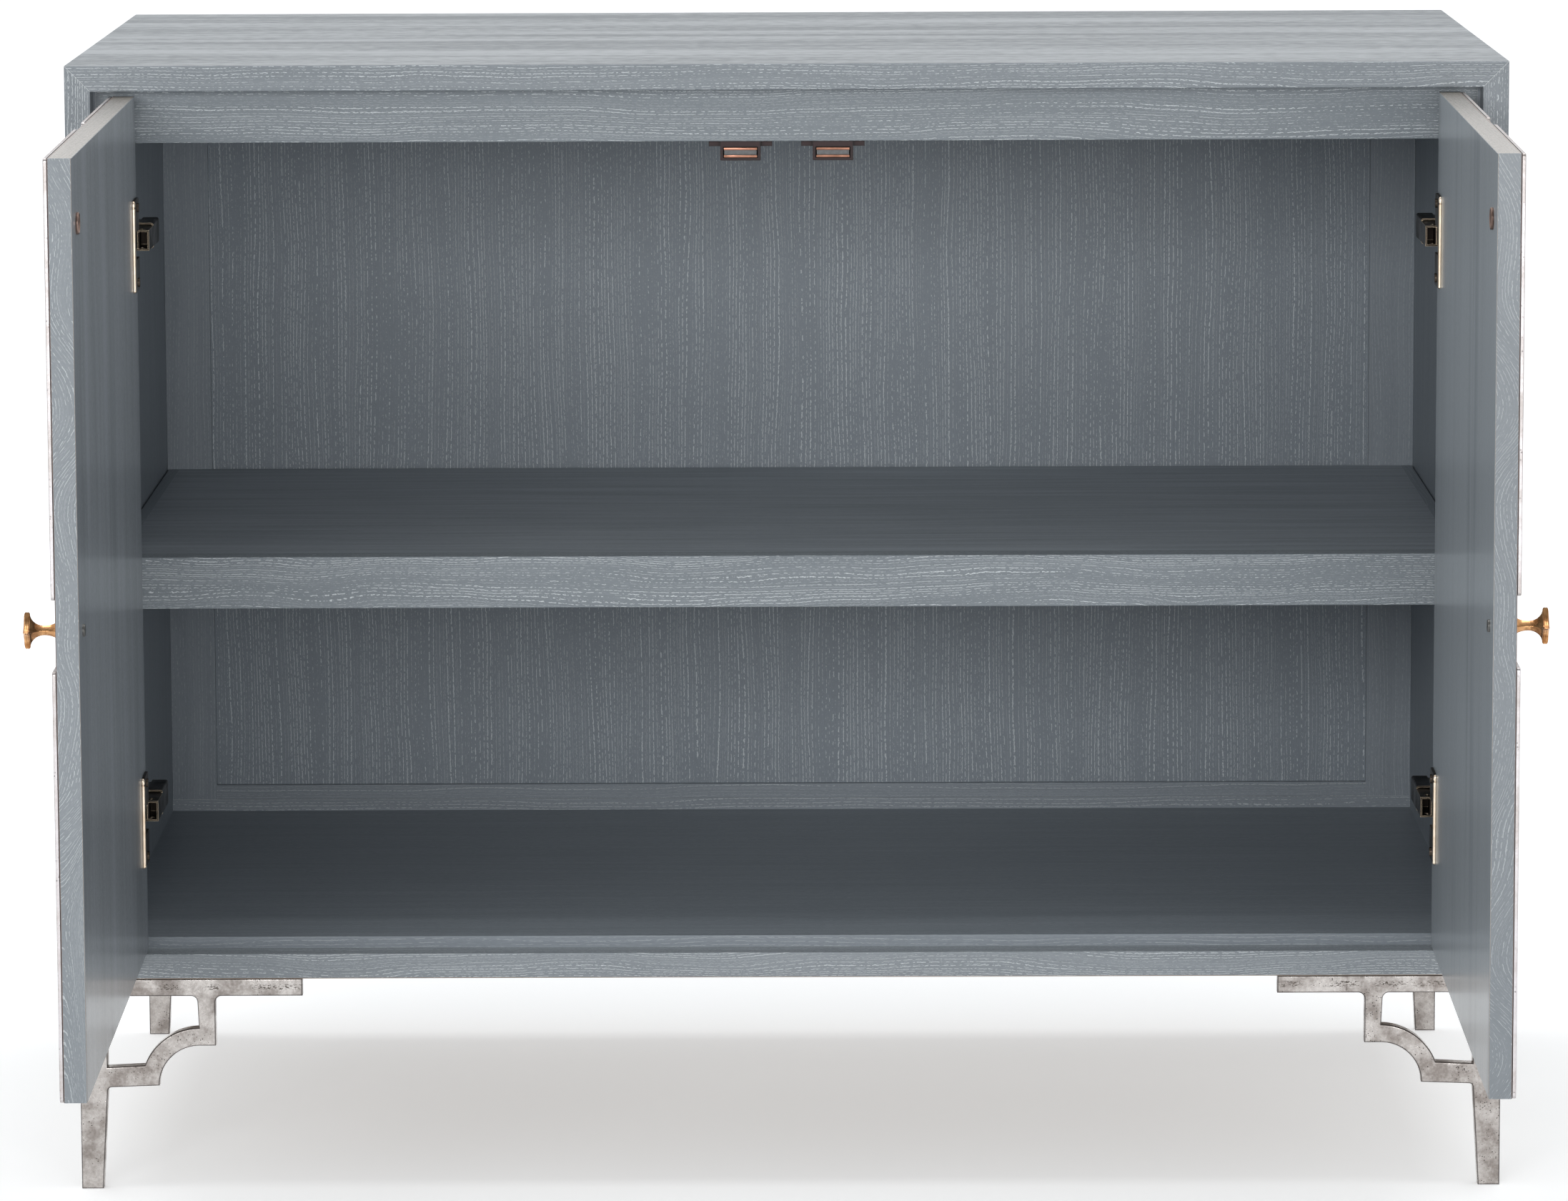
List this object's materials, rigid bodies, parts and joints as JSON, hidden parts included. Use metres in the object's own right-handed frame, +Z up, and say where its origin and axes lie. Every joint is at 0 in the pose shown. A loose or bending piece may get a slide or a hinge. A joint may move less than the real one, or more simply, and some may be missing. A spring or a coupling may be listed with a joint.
{
  "type": "sideboard cabinet",
  "caption": "Low double-door cabinet in limed oak with metal-clad doors, one shelf, concealed hinges and cast bracket legs; stored with its doors open.",
  "frame": {"origin": "on the floor, under the middle of the box around the part with its doors open", "axes": "+X to the right seen from the front, +Y from the front to the back, +Z up"},
  "size_m": [1.121, 1.1058, 0.889],
  "materials": {
    "limed_oak": "blue-grey limed oak under satin lacquer",
    "door_metal": "aged silver-toned sheet, dull",
    "cast_leg_metal": "aged nickel over a pitted casting",
    "knob_brass": "aged brass",
    "hinge_gold": "pale gold plated steel",
    "hinge_dark": "dark plated steel",
    "screw_steel": "dull steel",
    "catch_plastic": "dark brown moulded plastic",
    "catch_pole": "copper-brown plated steel",
    "strike_metal": "brown plated steel"
  },
  "bodies": {
    "case": {"back_base_strip": "limed_oak", "back_bottom_rail": "limed_oak", "back_panel": "limed_oak", "back_top_rail": "limed_oak", "bottom_board": "limed_oak", "catch_screws": "screw_steel", "floor_lipping": "limed_oak", "floor_panel": "limed_oak", "hinge_base_screws": "screw_steel", "left_back_stile": "limed_oak", "left_catch_case": "catch_plastic", "left_catch_magnet": "catch_pole", "left_front_leg": "cast_leg_metal", "left_lower_hinge_arm": "hinge_gold", "left_lower_hinge_base": "hinge_dark", "left_rear_leg": "cast_leg_metal", "left_side_board": "limed_oak", "left_side_lining": "limed_oak", "left_upper_hinge_arm": "hinge_gold", "left_upper_hinge_base": "hinge_dark", "leg_screws": "screw_steel", "right_back_stile": "limed_oak", "right_catch_case": "catch_plastic", "right_catch_magnet": "catch_pole", "right_front_leg": "cast_leg_metal", "right_lower_hinge_arm": "hinge_gold", "right_lower_hinge_base": "hinge_dark", "right_rear_leg": "cast_leg_metal", "right_side_board": "limed_oak", "right_side_lining": "limed_oak", "right_upper_hinge_arm": "hinge_gold", "right_upper_hinge_base": "hinge_dark", "shelf_core": "limed_oak", "shelf_end_lippings": "limed_oak", "shelf_front_lipping": "limed_oak", "shelf_pins": "screw_steel", "top_board": "limed_oak", "top_rail": "limed_oak"},
    "left_hinge_links": {"left_lower_hinge_link": "hinge_dark", "left_upper_hinge_link": "hinge_dark"},
    "left_door": {"left_cup_screws": "screw_steel", "left_door": "limed_oak", "left_door_lower_plates": "door_metal", "left_door_upper_plates": "door_metal", "left_knob": "knob_brass", "left_knob_screw": "screw_steel", "left_lower_hinge_cup": "hinge_gold", "left_strike_disc": "strike_metal", "left_upper_hinge_cup": "hinge_gold"},
    "right_hinge_links": {"right_lower_hinge_link": "hinge_dark", "right_upper_hinge_link": "hinge_dark"},
    "right_door": {"right_cup_screws": "screw_steel", "right_door": "limed_oak", "right_door_lower_plates": "door_metal", "right_door_upper_plates": "door_metal", "right_knob": "knob_brass", "right_knob_screw": "screw_steel", "right_lower_hinge_cup": "hinge_gold", "right_strike_disc": "strike_metal", "right_upper_hinge_cup": "hinge_gold"}
  },
  "joints": [
    {"name": "left_door_hinge", "type": "hinge", "parent": "case", "child": "left_door", "pos_m": [-0.52804, -0.02641, 0.525], "axis": [0, 0, 1], "range_deg": [-5.8, 89.2]},
    {"name": "left_link_pivot", "type": "hinge", "parent": "left_door", "child": "left_hinge_links", "pos_m": [-0.51331, -0.02375, 0.525], "axis": [0, 0, 1], "range_deg": [-133.63, 8.71]},
    {"name": "right_door_hinge", "type": "hinge", "parent": "case", "child": "right_door", "pos_m": [0.52804, -0.02641, 0.525], "axis": [0, 0, -1], "range_deg": [-5.8, 89.2]},
    {"name": "right_link_pivot", "type": "hinge", "parent": "right_door", "child": "right_hinge_links", "pos_m": [0.51331, -0.02375, 0.525], "axis": [0, 0, -1], "range_deg": [-133.63, 8.71]}
  ],
  "couplings": [
    {"joint": "left_link_pivot", "follows": "left_door_hinge", "ratio": -1.4979},
    {"joint": "right_link_pivot", "follows": "right_door_hinge", "ratio": -1.4979}
  ]
}
